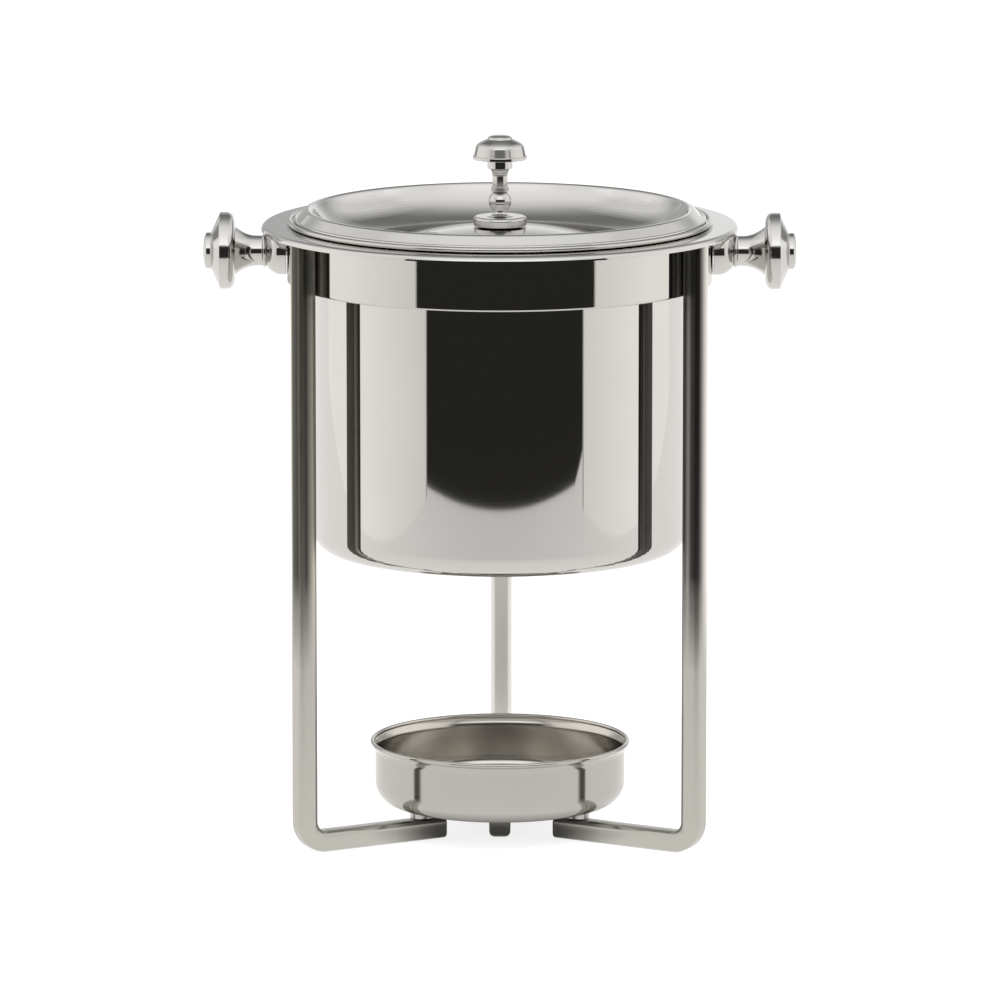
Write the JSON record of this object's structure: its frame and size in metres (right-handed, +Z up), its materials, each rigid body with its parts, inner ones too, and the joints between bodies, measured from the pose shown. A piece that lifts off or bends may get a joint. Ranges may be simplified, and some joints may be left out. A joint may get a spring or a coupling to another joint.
{
  "type": "chafing dish",
  "caption": "Round polished steel soup chafer: deep water pan with food pan and recessed knobbed lid, hung in a ring stand with side knob handles and bent legs over a shallow fuel cup.",
  "frame": {"origin": "on the table, under the axis of the round pans, midway between the handles", "axes": "+Z up along the pans' axis, -Y the front (the side away from the back leg), the two handles along -X and +X"},
  "size_m": [0.3532, 0.2842, 0.4218],
  "materials": {
    "pan_steel": "mirror-polished stainless steel sheet",
    "food_pan_steel": "satin stainless steel sheet with a polished rim",
    "frame_steel": "mirror-polished stainless steel ring",
    "leg_steel": "polished stainless steel bar with drawn lines along it",
    "cup_steel": "polished outside, satin inside",
    "knob_steel": "bright polished turned steel",
    "screw_steel": "plain bright steel"
  },
  "bodies": {
    "stand": {"stand_band": "frame_steel", "leg_left": "leg_steel", "leg_right": "leg_steel", "leg_back": "leg_steel", "fuel_cup": "cup_steel", "cup_spacer_left": "screw_steel", "cup_spacer_right": "screw_steel", "cup_spacer_back": "screw_steel", "cup_screw_left": "screw_steel", "cup_screw_right": "screw_steel", "cup_screw_back": "screw_steel", "handle_rosette_left": "knob_steel", "handle_rosette_right": "knob_steel", "handle_knob_left": "knob_steel", "handle_knob_right": "knob_steel", "handle_washer_left": "screw_steel", "handle_washer_right": "screw_steel", "handle_screw_left": "screw_steel", "handle_screw_right": "screw_steel"},
    "water_pan": {"water_pan": "pan_steel"},
    "food_pan": {"food_pan": "food_pan_steel"},
    "lid": {"lid": "pan_steel", "lid_knob_plate": "knob_steel", "lid_knob": "knob_steel", "lid_washer": "screw_steel", "lid_screw": "screw_steel"}
  },
  "joints": [
    {"name": "water_pan_lift", "type": "slide", "parent": "stand", "child": "water_pan", "axis": [0, 0, 1], "range_m": [0, 0.215]},
    {"name": "food_pan_lift", "type": "slide", "parent": "water_pan", "child": "food_pan", "axis": [0, 0, 1], "range_m": [0, 0.175]},
    {"name": "lid_lift", "type": "slide", "parent": "food_pan", "child": "lid", "axis": [0, 0, 1], "range_m": [0, 0.08]}
  ]
}
